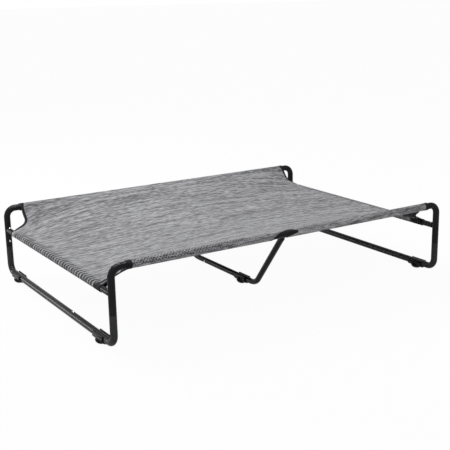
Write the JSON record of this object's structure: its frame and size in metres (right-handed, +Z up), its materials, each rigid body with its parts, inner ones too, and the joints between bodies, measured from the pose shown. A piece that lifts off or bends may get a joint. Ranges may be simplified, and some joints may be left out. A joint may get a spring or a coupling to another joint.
{
  "type": "raised dog cot",
  "caption": "Raised pet cot: bent tube frame with raised side rails and low ends, leaning middle support, clip-on rubber feet, snap-button joints and a stretched mesh sheet.",
  "frame": {"origin": "on the floor under the middle of the cot, at the bottom centre of its box", "axes": "+X along the length to the right-hand end, +Y across to the far side rail, +Z up"},
  "size_m": [1.262, 0.8662, 0.2595],
  "materials": {
    "steel_tube": "satin black powder coat",
    "rubber_foot": "matt moulded",
    "plated_steel": "zinc plated",
    "mesh_fabric": "grey heathered woven mesh",
    "binding_tape": "dark woven tape"
  },
  "bodies": {
    "frame": {"rail_near_left": "steel_tube", "rail_near_right": "steel_tube", "rail_far_left": "steel_tube", "rail_far_right": "steel_tube", "end_frame_left_near": "steel_tube", "end_frame_left_far": "steel_tube", "end_frame_right_near": "steel_tube", "end_frame_right_far": "steel_tube", "cross_bar_left": "steel_tube", "cross_bar_right": "steel_tube", "foot_left_near": "rubber_foot", "foot_left_far": "rubber_foot", "foot_right_near": "rubber_foot", "foot_right_far": "rubber_foot", "pivot_bolt_near": "plated_steel", "pivot_bolt_far": "plated_steel", "rail_insert_near": "plated_steel", "rail_insert_far": "plated_steel", "fabric_panel": "mesh_fabric", "sleeve_near": "mesh_fabric", "sleeve_far": "mesh_fabric", "hem_left": "mesh_fabric", "hem_right": "mesh_fabric", "binding_left_near": "binding_tape", "binding_left_far": "binding_tape", "binding_right_near": "binding_tape", "binding_right_far": "binding_tape", "slot_binding_near": "binding_tape", "slot_binding_far": "binding_tape"},
    "middle_support": {"middle_frame_near": "steel_tube", "middle_frame_far": "steel_tube", "foot_middle": "rubber_foot"},
    "leg_button_left_near": {"leg_button_left_near": "plated_steel"},
    "leg_button_left_far": {"leg_button_left_far": "plated_steel"},
    "leg_button_right_near": {"leg_button_right_near": "plated_steel"},
    "leg_button_right_far": {"leg_button_right_far": "plated_steel"},
    "bar_button_left": {"bar_button_left": "plated_steel"},
    "bar_button_right": {"bar_button_right": "plated_steel"},
    "bar_button_middle": {"bar_button_middle": "plated_steel"},
    "cross_button_left_near": {"cross_button_left_near": "plated_steel"},
    "cross_button_left_far": {"cross_button_left_far": "plated_steel"},
    "cross_button_right_near": {"cross_button_right_near": "plated_steel"},
    "cross_button_right_far": {"cross_button_right_far": "plated_steel"}
  },
  "joints": [
    {"name": "middle_support_swing", "type": "hinge", "parent": "frame", "child": "middle_support", "pos_m": [-0.032, 0, 0.246], "axis": [0, -1, 0], "range_deg": [0, 50]},
    {"name": "leg_button_left_near_press", "type": "slide", "parent": "frame", "child": "leg_button_left_near", "axis": [0, -1, 0], "range_m": [0, 0.004], "stiffness_N_per_m": 3000, "springref_m": -0.001},
    {"name": "leg_button_left_far_press", "type": "slide", "parent": "frame", "child": "leg_button_left_far", "axis": [0, 1, 0], "range_m": [0, 0.004], "stiffness_N_per_m": 3000, "springref_m": -0.001},
    {"name": "leg_button_right_near_press", "type": "slide", "parent": "frame", "child": "leg_button_right_near", "axis": [0, -1, 0], "range_m": [0, 0.004], "stiffness_N_per_m": 3000, "springref_m": -0.001},
    {"name": "leg_button_right_far_press", "type": "slide", "parent": "frame", "child": "leg_button_right_far", "axis": [0, 1, 0], "range_m": [0, 0.004], "stiffness_N_per_m": 3000, "springref_m": -0.001},
    {"name": "bar_button_left_press", "type": "slide", "parent": "frame", "child": "bar_button_left", "axis": [0, 0, -1], "range_m": [0, 0.004], "stiffness_N_per_m": 3000, "springref_m": -0.001},
    {"name": "bar_button_right_press", "type": "slide", "parent": "frame", "child": "bar_button_right", "axis": [0, 0, -1], "range_m": [0, 0.004], "stiffness_N_per_m": 3000, "springref_m": -0.001},
    {"name": "bar_button_middle_press", "type": "slide", "parent": "middle_support", "child": "bar_button_middle", "axis": [0.9816, 0, 0.1907], "range_m": [0, 0.004], "stiffness_N_per_m": 3000, "springref_m": -0.001},
    {"name": "cross_button_left_near_press", "type": "slide", "parent": "frame", "child": "cross_button_left_near", "axis": [0, 0, -1], "range_m": [0, 0.004], "stiffness_N_per_m": 3000, "springref_m": -0.001},
    {"name": "cross_button_left_far_press", "type": "slide", "parent": "frame", "child": "cross_button_left_far", "axis": [0, 0, -1], "range_m": [0, 0.004], "stiffness_N_per_m": 3000, "springref_m": -0.001},
    {"name": "cross_button_right_near_press", "type": "slide", "parent": "frame", "child": "cross_button_right_near", "axis": [0, 0, -1], "range_m": [0, 0.004], "stiffness_N_per_m": 3000, "springref_m": -0.001},
    {"name": "cross_button_right_far_press", "type": "slide", "parent": "frame", "child": "cross_button_right_far", "axis": [0, 0, -1], "range_m": [0, 0.004], "stiffness_N_per_m": 3000, "springref_m": -0.001}
  ]
}
